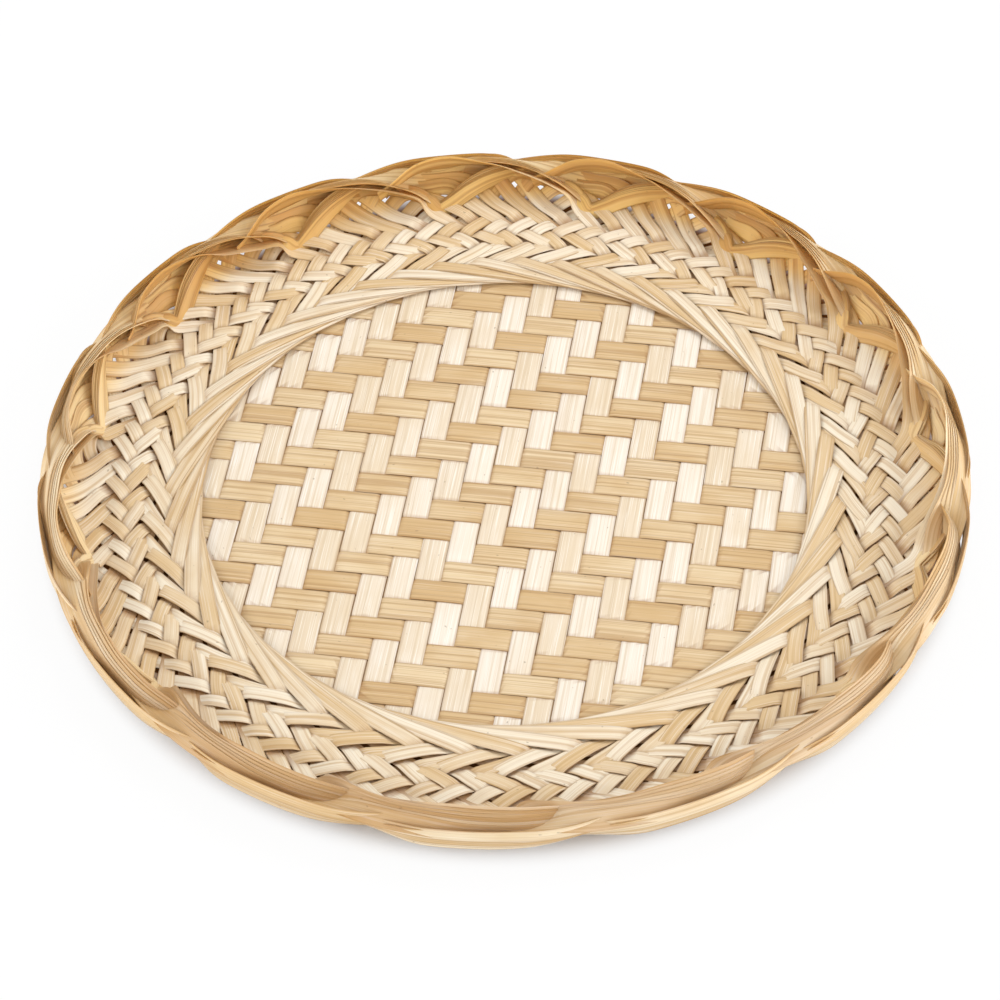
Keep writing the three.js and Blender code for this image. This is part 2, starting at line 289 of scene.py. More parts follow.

# %% [markdown]
# The three kinds of strip look as if they were cut from different layers of the stem.
# The warps are nearly white and shine a little, with painted sheen streaks. The wefts
# are browner and duller. The wall's splints are cream in the flat rows and are painted
# golden towards the rim, as painted shade.

# %% Three kinds of bamboo
warp_paint = bamboo(
    "warp bamboo",
    pale="#F3E8D8", deep="#E6D3B6", line="#D2B994", shade_gold="#D9A860",
    lines=(9.0, 26.0), line_share=0.45, roughness=0.45, sheen=0.6,
)
weft_paint = bamboo(
    "weft bamboo",
    pale="#E6CFA8", deep="#D2B180", line="#B28A58", shade_gold="#C08A45",
    lines=(8.0, 24.0), line_share=0.55, roughness=0.52, sheen=0.15,
)
splint_paint = bamboo(
    "splint bamboo",
    pale="#F1E4CC", deep="#DDC093", line="#C49C62", shade_gold="#FFDC80",
    lines=(6.0, 20.0), line_share=0.5, roughness=0.45, sheen=0.35,
)
print("bamboo mixed:", [m.name for m in (warp_paint, weft_paint, splint_paint)])

# %% [markdown]
# Every splint starts as the same straight blank, as it does for the weaver. A grid is
# given thickness, its two long edges are thinned a little, as the knife leaves them, and
# each splint is a copy of this blank bent to its own course. Bending moves only the
# blank's points, so its map and its faces stay whole.

# %% Blank splints
EDGE_FROM = 0.41  # where a long edge begins to thin, in widths from the middle
EDGE_THICKNESS = 0.45  # what is left at the very edge, as a share of the thickness


def blank_splint(name, steps):
    """A flat strip 1 by 1 by 1, with its long edges thinned."""
    bpy.ops.object.select_all(action="DESELECT")
    bpy.ops.mesh.primitive_grid_add(x_subdivisions=steps, y_subdivisions=4, size=1, calc_uvs=True)
    blank = bpy.context.object
    blank.name = name
    for v in blank.data.vertices:
        if 0.2 < abs(v.co.y) < 0.3:
            v.co.y = math.copysign(EDGE_FROM, v.co.y)
    thick = blank.modifiers.new("thick", "SOLIDIFY")
    thick.thickness, thick.offset = 1.0, 0.0
    bpy.ops.object.modifier_apply(modifier=thick.name)
    bpy.ops.object.mode_set(mode="EDIT")
    bpy.ops.mesh.select_all(action="DESELECT")
    bpy.ops.object.mode_set(mode="OBJECT")
    for v in blank.data.vertices:
        v.select = abs(v.co.y) > 0.49
    bpy.ops.object.mode_set(mode="EDIT")
    bpy.ops.transform.resize(value=(1, 1, EDGE_THICKNESS))
    bpy.ops.mesh.select_all(action="SELECT")
    bpy.ops.mesh.normals_make_consistent(inside=False)
    bpy.ops.object.mode_set(mode="OBJECT")
    return blank


WALL_STEPS, MAT_STEPS = 260, 132
wall_blank = blank_splint("wall blank", WALL_STEPS)
mat_blank = blank_splint("mat blank", MAT_STEPS)
print("blanks", len(wall_blank.data.polygons), "and", len(mat_blank.data.polygons), "faces")

# %% [markdown]
# A bend or curve modifier follows one line, but these strips also weave, fan out and
# twist. So each point of the blank is moved by a sum of its own, the map is laid out in
# centimetres, so that fibres have one size on every strip, and the marks are stored on
# the points.

# %% Bending a blank
SMOOTH_ANGLE = 50  # edges sharper than this stay sharp


def points_of(mesh):
    flat = np.empty(len(mesh.vertices) * 3)
    mesh.vertices.foreach_get("co", flat)
    return flat.reshape(-1, 3)


def edge_mark(flat):
    """1 along a blank's two long edges, 0 between them."""
    return smooth(0.43, 0.5, np.abs(flat[:, 1]))


def bent(blank, name, place, map_cm, marks, paint):
    """A copy of the blank with its points at place. map_cm is its length, width and shift both ways."""
    length, width, shift_along, shift_across = map_cm
    mesh = blank.data.copy()
    flat = points_of(mesh)
    mesh.vertices.foreach_set("co", place.ravel())
    layer = mesh.uv_layers[0]
    layer.name = "splint"
    corners = np.empty(len(mesh.loops), int)
    mesh.loops.foreach_get("vertex_index", corners)
    where = np.stack([(flat[corners, 0] + 0.5) * length, flat[corners, 1] * width], 1)
    where += np.array((shift_along, shift_across))
    layer.data.foreach_set("uv", where.ravel())
    for key, values in marks.items():
        attribute = mesh.attributes.new(key, "FLOAT", "POINT")
        attribute.data.foreach_set("value", np.broadcast_to(values, len(flat)).astype(float))
    mesh.materials.clear()
    mesh.materials.append(paint)
    piece = bpy.data.objects.new(name, mesh)
    bpy.context.scene.collection.objects.link(piece)
    return piece


def shade_smooth(pieces):
    bpy.ops.object.select_all(action="DESELECT")
    for piece in pieces:
        piece.select_set(True)
    bpy.context.view_layer.objects.active = pieces[0]
    bpy.ops.object.shade_smooth_by_angle(angle=math.radians(SMOOTH_ANGLE))


print("bending ready")

# %% [markdown]
# The mat is a plain twill: each warp runs over two wefts and under two, and the next
# warp starts one weft further on, which draws the diagonal steps. Warps are pale and
# run away from the viewer, wefts are darker and run across. Each strip rises and dips
# by half the weave's thickness and eases over its neighbour's edge.

# %% Twill
MAT_EDGE = 101.2  # the strips end here, under the wall's closed band
WARP_PITCH, WARP_SHIFT = 8.58, -1.49
WEFT_PITCH, WEFT_SHIFT = 8.8, -8.65
WARP_LEAN = 0.0182  # sideways for each millimetre along, about 1 degree
CHANGE_SIDES = (0.36, 0.64)  # shares of a pitch between which a strip changes sides
SLIVER = 2  # an outermost strip that would show less than this is left out


def twill_level(strip, along, pitch, shift, is_warp):
    """-1 under to 1 over, at a place along a strip that crosses others of this pitch and shift."""
    cell = (along - shift) / pitch
    other = np.floor(cell + 0.5)
    gap = cell - other

    def side(index):
        difference = strip - index if is_warp else index - strip
        over = np.mod(difference, 4) < 1.5
        return np.where(over == is_warp, 1.0, -1.0)

    here = side(other)
    beyond = side(other + np.sign(gap))
    ease = smooth(*CHANGE_SIDES, np.abs(gap))
    return here * (1 - ease) + beyond * ease


def strip_numbers(pitch, shift):
    """The numbers of the strips that show, counted from the one next to the mat's middle."""
    reach = MAT_EDGE + pitch / 2 - SLIVER
    return range(math.ceil((-reach - shift) / pitch), math.floor((reach - shift) / pitch) + 1)


print("warps are numbered", strip_numbers(WARP_PITCH, WARP_SHIFT))

# %% [markdown]
# Each strip is cut to the round, so its ends follow the mat's edge. No two strips are
# quite as wide as each other, each wanders a little along its length, and its top is
# slightly crowned, which gives every crossing its own soft light.

# %% Mat
STRIP_GAP, STRIP_WANDER = 0.22, 0.10
STRIP_THICKNESS, STRIP_CROWN = 0.40, 0.07
MAT_MIDDLE, MAT_RISE = 0.675, 0.36  # the weave's middle height, and how far a strip leaves it
MAT_LOWEST, MAT_HIGHEST = 0.01, 1.34
SIDE_INSET = 0.6  # the outermost strips are cut this much inside the mat's edge
chance = np.random.default_rng(7)


def mat_strip(name, index, is_warp):
    own, other = ((WARP_PITCH, WARP_SHIFT), (WEFT_PITCH, WEFT_SHIFT))[:: 1 if is_warp else -1]
    centre = index * own[0] + own[1]
    width = own[0] - STRIP_GAP + chance.uniform(-0.14, 0.06)
    edge = MAT_EDGE - SIDE_INSET
    low, high = np.clip([centre - width / 2, centre + width / 2], -edge, edge)
    flat = points_of(mat_blank.data)
    across = low + (flat[:, 1] + 0.5) * (high - low)
    along = flat[:, 0] * 2 * np.sqrt(MAT_EDGE**2 - across**2)
    lean = WARP_LEAN * (along if is_warp else -across)
    level = twill_level(index, along + (0 if is_warp else lean), *other, is_warp)
    across = across + (lean if is_warp else 0) + STRIP_WANDER * np.sin(flat[:, 0] * 9 + index)
    crown = STRIP_CROWN * (1 - (2 * flat[:, 1]) ** 2) * (flat[:, 2] > 0)
    height = MAT_MIDDLE + MAT_RISE * level + flat[:, 2] * STRIP_THICKNESS + crown
    height = np.clip(height, MAT_LOWEST, MAT_HIGHEST)
    place = np.stack([*((across, along) if is_warp else (along, across)), height], 1) * MM
    tone = chance.uniform(0.1, 0.9)
    # Painted shade: the under mark darkens a strip where it dives under a crossing strip, and the edge mark
    # darkens the lines between neighbours.
    marks = {"tone": tone, "shade_gold": 0.0, "edge": edge_mark(flat), "under": smooth(0.5, -0.7, level)}
    map_cm = (np.ptp(along) / 10, (high - low) / 10, chance.uniform(0, 50), 2.0 * index + 100)
    return bent(mat_blank, name, place, map_cm, marks, warp_paint if is_warp else weft_paint)


warps = [
    mat_strip(f"warp_{n:02d}", index, True)
    for n, index in enumerate(strip_numbers(WARP_PITCH, WARP_SHIFT), 1)
]
wefts = [
    mat_strip(f"weft_{n:02d}", index, False)
    for n, index in enumerate(strip_numbers(WEFT_PITCH, WEFT_SHIFT), 1)
]
shade_smooth(warps + wefts)
print("mat", len(warps), "warps and", len(wefts), "wefts")

# %% [markdown]
# The wall is 90 thin splints laid in 45 pairs. Each is a straight chord that touches the
# mat's edge at its middle and runs out both ways. Near the mat the pairs lap over each
# other in a closed band. Further out the two directions cross and pass over and under
# by turns, row after row, and the two splints of a pair spread until they lie side by
# side. Three pairs, -1, 0 and 1, make a group, and a pair's two lanes are -1 and 1.

# %% Places in the plait
GROUPS = 15
GROUP_TURN = 360 / GROUPS
PAIR_TURN = GROUP_TURN / 3
CHORD = 100.5  # a splint's least distance from the centre, at its middle
TOGETHER, SPREAD = 0.14, 2.0  # half the turn between a pair's two splints, near the mat and at the rim
LEAF_DRAW = 0.32  # degrees that each leaf is drawn closer to the next one
LAST_LEAF = 5  # the six ends of a group are counted from 0
MIDDLE_LEAF = LAST_LEAF / 2


def chord_radius(theta):
    """Distance from the centre, at an angle from a chord's middle."""
    return CHORD / np.cos(np.radians(theta))


def chord_turn(radius):
    """Angle from its middle at which a chord is this far from the centre."""
    return np.degrees(np.arccos(np.minimum(1, CHORD / np.maximum(radius, CHORD))))


def spread_turn(theta):
    """Half the turn between the two splints of a pair."""
    return TOGETHER + (SPREAD - TOGETHER) * smooth(25, 35, np.abs(theta))


def arch_order(pair, lane):
    """Place among the six anticlockwise ends. 0 is farthest from the arch's notch."""
    return (pair + 1) * 2 + (lane + 1) // 2


def riser_order(pair, lane):
    """Place among the six clockwise ends. 0 is nearest to the riser's notch."""
    return {0: 0, 1: 2, -1: 4}[pair] + (lane + 1) // 2


def gather(pair, lane, theta):
    """How far an anticlockwise end is drawn towards its notch above the woven rows."""
    return (LAST_LEAF - arch_order(pair, lane)) * LEAF_DRAW * smooth(34, 43, theta)


print("plait of", GROUPS, "groups, one pair every", PAIR_TURN, "degrees")

# %% [markdown]
# A splint's course is written over the angle round the tray: for each angle a distance
# from the centre, a height and a lean. The wall is a shallow bowl. It is nearly flat
# over the woven rows and bends up outside them.

# %% Course of a splint in the wall
ROWS_FROM, WALL_FROM = 112, 134  # distances where the rows begin and where the wall bends up
ROWS_HEIGHT, ROWS_CLIMB = 2.3, 1.3
WALL_SLOPE, WALL_CURVE = 0.118, 0.04
ROW_CHANGES = ((20.8, 23.2), (29.6, 31.4), (34.2, 35.9), (38.7, 40.3))  # a half changes sides over these
BAND_HEIGHT, BAND_RISE, BAND_TILT = 2.65, 1.0, 9.0
BAND_LAP = 16.0  # degrees from its middle at which a splint has reached the top of the band
BAND_OPENS = (20.6, 23.4)  # degrees from its middle over which it leaves the band for the rows
WALL_END, WALL_STEP = 37.5, 0.75


def wall_height(radius):
    """Height of the middle of the weave."""
    near = np.maximum(0, radius - ROWS_FROM) / (WALL_FROM - ROWS_FROM)
    beyond = np.maximum(0, radius - WALL_FROM)
    flat = ROWS_HEIGHT + ROWS_CLIMB * np.minimum(near, 1) ** 2
    return flat + WALL_SLOPE * beyond + WALL_CURVE * beyond**2


def wall_lean(radius, step=0.01):
    """How much the wall slopes there."""
    return np.degrees(np.arctan((wall_height(radius + step) - wall_height(radius - step)) / (2 * step)))


def weave_level(row):
    """1 where an anticlockwise half goes over, -1 where it goes under. Clockwise halves do the opposite."""
    level = 1.0
    for number, change in enumerate(ROW_CHANGES):
        level = level + (2 if number % 2 else -2) * smooth(*change, row)
    return level


def wall_nodes(pair, lane):
    """Angle, distance, height, lean and share of the band, from the clockwise to the anticlockwise end."""
    theta = np.arange(-WALL_END, WALL_END + 0.1, WALL_STEP)
    angle = pair * PAIR_TURN + lane * spread_turn(theta) + theta + gather(pair, lane, theta)
    radius = chord_radius(theta)
    lap = np.clip(np.tan(np.radians(theta)) / math.tan(math.radians(BAND_LAP)), -1, 1)
    in_band = 1 - smooth(*BAND_OPENS, np.abs(theta))
    height = wall_height(radius) * (1 - in_band) + (BAND_HEIGHT + BAND_RISE * lap) * in_band
    lean = wall_lean(radius) * (1 - in_band) - BAND_TILT * lap * in_band
    return np.stack([angle, radius, height, lean, in_band], 1)


print("wall course", wall_nodes(0, 1).shape)

# %% [markdown]
# At the rim the ends are gathered at fifteen notches. The six anticlockwise ends of a
# group leave the wall one after another and join an arch, which climbs from its notch,
# leans outwards over the crest and dives under the next arch, where its tips are tucked
# away. A bent tube or a moulding would be quicker, but the look of this rim is that of
# single leaves, so each keeps a course of its own: fanned out across the stack, laid
# through it, and joined at its own turn. The leaf nearest to the notch goes up the
# arch's inner edge and hangs a little loose, by its slack.

# %% Course of an arch
NOTCH_AHEAD = 50.5  # from a group's middle to the notch of its anticlockwise ends
ENDS_FROM = 38.5  # degrees from a chord's middle where the courses of the ends begin
CLIMB_FROM, CREST_TURN, ARCH_END = 0.5, 20, 33.0
NOTCH_RADIUS, CREST_REACH, REACH_POWER = 133.2, 13.0, 2.8
NOTCH_HEIGHT, CREST_CLIMB, CLIMB_POWER = 4.6, 10.6, 0.48
CLOSING, FALLING = 0.05, 0.024  # how the arch comes in and down again past its crest
TUCK_TURNS, TUCK_IN, TUCK_DOWN = (26, 33), 4.0, 2.6  # the dive of the tips
LEAF_TOP = (145.4, 145.2, 144.4, 142.4, 139.6, 136.6)  # how far out each end follows the wall
LEAF_HEIGHT = 11.5  # and no higher than this
ARCH_JOIN = (14.0, 12.0, 10.0, 8.0, 5.5, 3.0)  # the turn at which each end joins the arch
LONG_WAY = 6  # an end that has farther to go to the arch is led over the wall's edge
ARCH_LEAN = ((0, 0), (5, -42), (15, -48), (23, -78), (30, -70), (36, -84))
ARCH_FAN = ((0, 0.0), (7, 0.7), (15, 0.7), (23, 1.15), (36, 0.7))
ARCH_LAY = ((0, 0.2), (6, 0.46), (16, 0.46), (24, 0.34), (36, 0.34))
ARCH_SLACK = ((0, 0.0), (2, 0.2), (6, 1.0), (10, 1.1), (17, 0.0))


def along_turn(turn, places):
    """A value given at a few turns, eased in between."""
    turns, values = np.array(places).T
    at = np.clip(np.searchsorted(turns, turn) - 1, 0, len(turns) - 2)
    share = smooth(0, 1, (turn - turns[at]) / (turns[at + 1] - turns[at]))
    return values[at] + (values[at + 1] - values[at]) * share


def arch_course(turn):
    """Distance, height and lean of the middle of an arch, at a turn from its notch."""
    climb = np.clip((turn - CLIMB_FROM) / (CREST_TURN - CLIMB_FROM), 0, 1)
    past = np.maximum(0, turn - CREST_TURN)
    tuck = smooth(*TUCK_TURNS, turn)
    radius = NOTCH_RADIUS + CREST_REACH * (1 - (1 - climb) ** REACH_POWER) - CLOSING * past - TUCK_IN * tuck
    height = NOTCH_HEIGHT + CREST_CLIMB * np.sin(np.radians(90 * climb**CLIMB_POWER))
    return radius, height - FALLING * past**2 - TUCK_DOWN * tuck, along_turn(turn, ARCH_LEAN)


def ahead_nodes(pair, lane, slack):
    """The anticlockwise end, from the wall to the tucked tip of the arch."""
    order = arch_order(pair, lane)
    top, join = LEAF_TOP[order], ARCH_JOIN[order]
    rows = []
    for theta in np.arange(ENDS_FROM, chord_turn(top - 1.2), 1.0):
        radius = chord_radius(theta)
        angle = pair * PAIR_TURN + lane * SPREAD + theta + gather(pair, lane, theta)
        rows.append((angle, radius, min(wall_height(radius), LEAF_HEIGHT), wall_lean(radius), 0, 0, 0))
    leave = rows[-1][0] - NOTCH_AHEAD + 2.2
    if join - leave > LONG_WAY:
        height = min(12.0, wall_height(top) + 0.4)
        rows.append((NOTCH_AHEAD + (leave + join) / 2 - 1.0, top - 0.3, height, 55, 0, -0.4, 0.3))
    for turn in np.arange(join, ARCH_END + 0.1, 2.0):
        radius, height, lean = arch_course(turn)
        fan = (MIDDLE_LEAF - order) * along_turn(turn, ARCH_FAN)
        lay = (MIDDLE_LEAF - order) * along_turn(turn, ARCH_LAY)
        if order == LAST_LEAF:
            apart = slack * along_turn(turn, ARCH_SLACK)
            radius, height, lean = radius - 1.8 * apart, height - 3.0 * apart, lean + 36 * apart
        rows.append((NOTCH_AHEAD + turn, radius, height, lean, fan, lay, 1))
    return np.array(sorted(rows), float)


print("arch course", ahead_nodes(-1, -1, 0.5).shape)

# %% [markdown]
# The six clockwise ends run back along the foot of an arch to its notch and come out of
# it as a riser. It climbs the other way in front of the wall, slips out under the
# neighbouring arch and lies along the outside as the scalloped edge. The ends of pair
# -1 pass one notch by and use the next.

# %% Course of a riser
NOTCH_BEHIND = -45.5  # from a group's middle to the notch of its clockwise ends
TURN_BACK = (136.0, 139.0, 140.6, 141.6, 142.8, 143.8)  # how far out each end goes before it turns back
RISER_FOOT, RISER_REACH, RISER_IN = 134.6, 14.4, 4.4
RISER_OUT_BY, RISER_IN_FROM, RISER_END = 20, 31, 41.0
RISER_HEIGHT = (
    (0, 3.4), (1.5, 4.2), (3, 5.6), (5, 8.2), (8, 10.4),
    (12, 11.4), (16, 11.4), (24, 10.7), (34, 10.4), (41, 8.6),
)
RISER_FAN = ((0, 0.15), (7, 0.42), (14, 0.5), (23, 1.0), (31, 1.0), (41, 0.25))
RISER_LAY = ((0, 0.16), (6, 0.3), (41, 0.3))
RISER_LEAN = (46, 90)  # at the notch, and from 12 degrees past it
RETURN_LEAN = 28.0
UNDER_WEAVE = 0.9  # a clockwise end lies this much below the middle of the weave


def riser_course(turn):
    """Distance, height and lean of the middle of a riser, at a turn clockwise from its notch."""
    reach = RISER_REACH * (1 - (1 - np.clip(turn / RISER_OUT_BY, 0, 1)) ** 1.6)
    radius = RISER_FOOT + reach - RISER_IN * smooth(RISER_IN_FROM, RISER_END, turn)
    height = np.interp(turn, *np.array(RISER_HEIGHT).T)
    return radius, height, RISER_LEAN[0] + (RISER_LEAN[1] - RISER_LEAN[0]) * smooth(0, 12, turn)


def behind_nodes(pair, lane):
    """The clockwise end, from the wall to the tip of the outer scallop."""
    notch = NOTCH_BEHIND - GROUP_TURN * (pair == -1)
    order = riser_order(pair, lane)
    rows = []
    for theta in np.arange(ENDS_FROM, chord_turn(TURN_BACK[order] - 0.8), 1.0):
        radius = chord_radius(theta)
        angle = pair * PAIR_TURN + lane * SPREAD - theta
        rows.append((angle, radius, wall_height(radius) - UNDER_WEAVE, wall_lean(radius), 0, 0, 0))
    for turn in np.arange(rows[-1][0] - notch - 3.6, 0.6, -2.0):
        radius, height, _ = arch_course(turn)
        height = height - UNDER_WEAVE - 1.2 * smooth(1, 4, turn) - 1.4 * smooth(6, 13, turn)
        radius = radius + (0.2 + 2.0 * (1 - smooth(1, 8, turn)))
        zone = 2 - smooth(5, 11, turn)
        fan, lay = 0.15 * (order - MIDDLE_LEAF), -0.25 * order
        rows.append((notch + turn, radius, height, RETURN_LEAN, fan, lay, zone))
    for turn in np.arange(0.0, RISER_END + 0.1, 1.5):
        fan = (order - MIDDLE_LEAF) * along_turn(turn, RISER_FAN)
        lay = (MIDDLE_LEAF - order) * along_turn(turn, RISER_LAY)
        rows.append((notch - turn, *riser_course(turn), fan, lay, 2))
    return np.array(sorted(rows), float)


print("riser course", behind_nodes(-1, 1).shape)

# %% [markdown]
# A smooth curve through these places gives the middle of the splint. Its face is turned
# to the lean asked for, so every step has a direction along, across and through the
# splint, in which the blank's points are set out.

# %% Smooth course
FINE_STEPS = 1600


def curve(nodes, steps):
    """Even steps along a smooth curve through nodes given over the angle, and the curve's length."""
    angle = nodes[:, 0]
    fine = np.linspace(angle[0], angle[-1], FINE_STEPS)
    slopes = np.gradient(nodes[:, 1:], angle, axis=0)
    n = np.clip(np.searchsorted(angle, fine) - 1, 0, len(angle) - 2)
    gap = (angle[n + 1] - angle[n])[:, None]
    t = ((fine - angle[n]) / gap[:, 0])[:, None]
    a, b = nodes[n, 1:], nodes[n + 1, 1:]
    rest = a * (2 * t**3 - 3 * t**2 + 1) + b * (3 * t**2 - 2 * t**3)
    rest += gap * (slopes[n] * (t**3 - 2 * t**2 + t) + slopes[n + 1] * (t**3 - t**2))
    x, y = polar(fine, rest[:, 0])
    stretch = np.r_[0, np.cumsum(np.sqrt(np.diff(x) ** 2 + np.diff(y) ** 2 + np.diff(rest[:, 1]) ** 2))]
    even = np.linspace(0, stretch[-1], steps + 1)
    table = np.column_stack([fine, rest])
    return np.stack([np.interp(even, stretch, column) for column in table.T], 1), stretch[-1]


def splint_nodes(pair, lane, slack):
    """Angle, distance, height, lean, fan, lay, zone and share of the band along a whole splint."""
    wall = wall_nodes(pair, lane)
    middle = np.column_stack([wall[:, :4], np.zeros((len(wall), 3)), wall[:, 4]])
    no_band = ((0, 0), (0, 1))  # one more column, of zeros
    behind = np.pad(behind_nodes(pair, lane), no_band)
    ahead = np.pad(ahead_nodes(pair, lane, slack), no_band)
    nodes = np.vstack([behind, middle, ahead])
    return nodes[np.argsort(nodes[:, 0])]


def smoothed(values, times=3):
    """Takes the small kinks out of columns of values."""
    for _ in range(times):
        values = np.concatenate([values[:1], (values[:-2] + 2 * values[1:-1] + values[2:]) / 4, values[-1:]])
    return values


def splint_axes(angle, radius, height, lean):
    """The middle of a splint at each step, and its directions across and through."""
    x, y = polar(angle)
    out = np.stack([x, y, np.zeros_like(x)], 1)
    upward = np.array([0, 0, 1.0])
    middle = out * radius[:, None] + upward * height[:, None]
    along = np.gradient(middle, axis=0)
    along /= np.linalg.norm(along, axis=1)[:, None]
    face = upward * np.cos(np.radians(lean))[:, None] - out * np.sin(np.radians(lean))[:, None]
    across = np.cross(along, face)
    across /= np.linalg.norm(across, axis=1)[:, None]
    return middle, across, np.cross(across, along)


print("whole course", splint_nodes(0, 1, 0.5).shape)

# %% [markdown]
# In the woven rows the height also depends on where a point lies between the crossing
# splints, so that each splint dives exactly at its neighbour's edge. The colour follows
# the place too, as painted shade. An arch shows its back to the tray's inside and a
# riser its face, and these sides are painted golden, as the shaded ones. The far rim
# turns them to the viewer, so its painted gold is full, and towards the near rim it
# fades to half. There the arches turn their outer sides to the viewer, which get some of
# the brown of `under` as painted shade.

# %% Level and colour of a splint's points
def row_level(pair, lane, theta, spot, distance):
    """1 over to -1 under, for points at an angle and a distance, on a splint of this pair and lane."""
    ahead_half = theta > 0
    own = pair * PAIR_TURN + lane * spread_turn(theta) + gather(pair, lane, theta) * ahead_half
    reach = chord_turn(distance)
    row = np.where(ahead_half, spot + reach - own, own - spot + reach) / 2
    return np.where(ahead_half, weave_level(row), -weave_level(row))


def shade_gold_mark(order, face_side, distance, turn, arch_share, riser_share):
    """How golden the points are painted, as painted shade: more with the distance, and most on the sides
    that look inwards.
    """
    shade_gold = 0.95 * smooth(134.5, 142, distance)
    shade_gold = shade_gold + (np.where(face_side, 0.95, 0.35) - shade_gold) * riser_share
    inside = 0.95 if order < LAST_LEAF else 0.2 + 0.7 * smooth(9, 15, turn)
    return shade_gold + (np.where(face_side, 0.42, inside) - shade_gold) * arch_share


def far_side(spot):
    """1 for points at the far rim, -1 at the near rim."""
    return np.cos(np.radians(spot - 90 - AZIMUTH))


print("far side", [round(float(far_side(spot)), 2) for spot in (90, 180, 270)])

# %% [markdown]
# The plait was spaced by eye, so the turns crowd a little on one side of the tray. The
# drift moves every splint round by the same small amount that its place asks for.

# %% Spacing by eye
FIRST_NOTCH, DRIFT, DRIFT_FROM = 12.5, 4.7, 96.6


def hand_drift(angle):
    return -DRIFT * np.sin(np.radians(angle - DRIFT_FROM))


def carried_round(place, turn):
    """Points turned round the tray to their own group, with the drift."""
    x, y, height = place.T
    c, s = polar(turn + hand_drift(np.degrees(np.arctan2(y, x)) + turn))
    return np.stack([x * c - y * s, x * s + y * c, height], 1)


print("drift", [round(float(hand_drift(angle)), 1) for angle in (0, 90, 180, 270)])

# %% [markdown]
# Now a splint can be bent. The two splints of a pair lie on each other near the mat and
# shift apart as they spread. Each has a width of its own, is a little wider in the rim,
# where it isn't held flat, and wanders by a hair's breadth along its way.

# %% A splint
NARROWEST, WIDEST = 4.5, 4.9
SPLINT_THICKNESS, SPLINT_WANDER = 0.36, 0.15
PAIR_ASIDE, PAIR_ABOVE = 0.30, 0.16  # shift of a pair's splints where they lie on each other
ROW_RISE = 0.72  # how far a splint leaves the weave's middle, over or under


def splint(name, pair, lane, turn, slack):
    line, length = curve(splint_nodes(pair, lane, slack), WALL_STEPS)
    line[:, 1:6] = smoothed(line[:, 1:6])
    angle, radius, height, lean, fan, lay, zone, band = line.T
    middle, across, face = splint_axes(angle, radius, height, lean)
    flat = points_of(wall_blank.data)
    step = np.rint((flat[:, 0] + 0.5) * WALL_STEPS).astype(int)

    theta = angle - pair * PAIR_TURN
    in_wall = smooth(-40.5, -39.0, theta) * (1 - smooth(39.0, 42.0, theta))
    stacked = 1 - smooth(26, 36, np.abs(theta))
    width = chance.uniform(NARROWEST, WIDEST)
    width = width * (1 + 0.10 * smooth(40, 43, np.abs(theta)) + 0.16 * smooth(43, 47, theta))
    wander = SPLINT_WANDER * np.sin(np.linspace(0, 9, WALL_STEPS + 1) + chance.uniform(0, 6))
    sideways = fan + lane * PAIR_ASIDE * stacked + wander
    above = lay + lane * PAIR_ABOVE * stacked * in_wall
    place = middle[step] + across[step] * (sideways[step] + flat[:, 1] * width[step])[:, None]
    place += face[step] * (above[step] + flat[:, 2] * SPLINT_THICKNESS)[:, None]

    distance = np.hypot(place[:, 0], place[:, 1])
    spot = np.degrees(np.arctan2(place[:, 1], place[:, 0]))
    spot = angle[step] + (spot - angle[step] + 180) % 360 - 180
    level = row_level(pair, lane, theta[step], spot, distance)
    in_rows = in_wall[step] * (1 - band[step])
    place[:, 2] += ROW_RISE * level * in_rows

    rim, face_side, far = np.clip(zone, 0, 2)[step], flat[:, 2] > 0, far_side(spot + turn)
    riser_share = smooth(1.1, 1.8, rim) * (theta[step] < 0)
    arch_share = smooth(0.2, 0.95, rim) * (theta[step] > 0)
    order, arch_turn = arch_order(pair, lane), angle[step] - NOTCH_AHEAD
    # Painted shade: golden on the sides that look inwards, full at the far rim and half at the near rim.
    shade_gold = shade_gold_mark(order, face_side, distance, arch_turn, arch_share, riser_share)
    shade_gold = shade_gold * (0.5 + 0.5 * smooth(-0.1, 0.8, far))
    # Painted shade along the edges, weaker on the arches.
    edge = edge_mark(flat) * (1 - 0.7 * arch_share)
    # Painted shade: brown where a splint dives under, and on the arches' outer sides at the near rim.
    under = smooth(0.5, -0.8, level) * in_rows + 0.55 * smooth(0.1, 0.9, -far) * arch_share * face_side
    marks = {"tone": chance.uniform(0, 1), "shade_gold": shade_gold, "edge": edge, "under": under}
    map_cm = (length / 10, width[0] / 10, chance.uniform(0, 50), chance.uniform(0, 50))
    return bent(wall_blank, name, carried_round(place, turn) * MM, map_cm, marks, splint_paint)


print("splints can be bent")

# %% [markdown]
# Three pairs make a group, and fifteen groups go round. The six splints of a group are
# joined into one piece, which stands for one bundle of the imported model.

# %% Wall and rim
groups = []
for number in range(GROUPS):
    turn = FIRST_NOTCH - NOTCH_AHEAD + number * GROUP_TURN
    slack = chance.uniform(0.2, 0.75)
    singles = [
        splint(f"splint_{number + 1:02d}_{pair}{lane}", pair, lane, turn, slack)
        for pair in (-1, 0, 1)
        for lane in (-1, 1)
    ]
    bpy.ops.object.select_all(action="DESELECT")
    for single in singles:
        single.select_set(True)
    bpy.context.view_layer.objects.active = singles[0]
    bpy.ops.object.join()
    group = bpy.context.object
    group.name = f"splints_{number + 1:02d}"
    groups.append(group)
shade_smooth(groups)
print("wall", len(groups), "groups,", sum(len(g.data.polygons) for g in groups), "faces")

# %% [markdown]
# Nothing on the tray moves, so every piece rides on its one body. Each carries the
# material of its kind of bamboo and hides the solid of the imported model that it takes
# the place of. The mat shows one warp and one weft more than the model has, and they
# take the place of none.

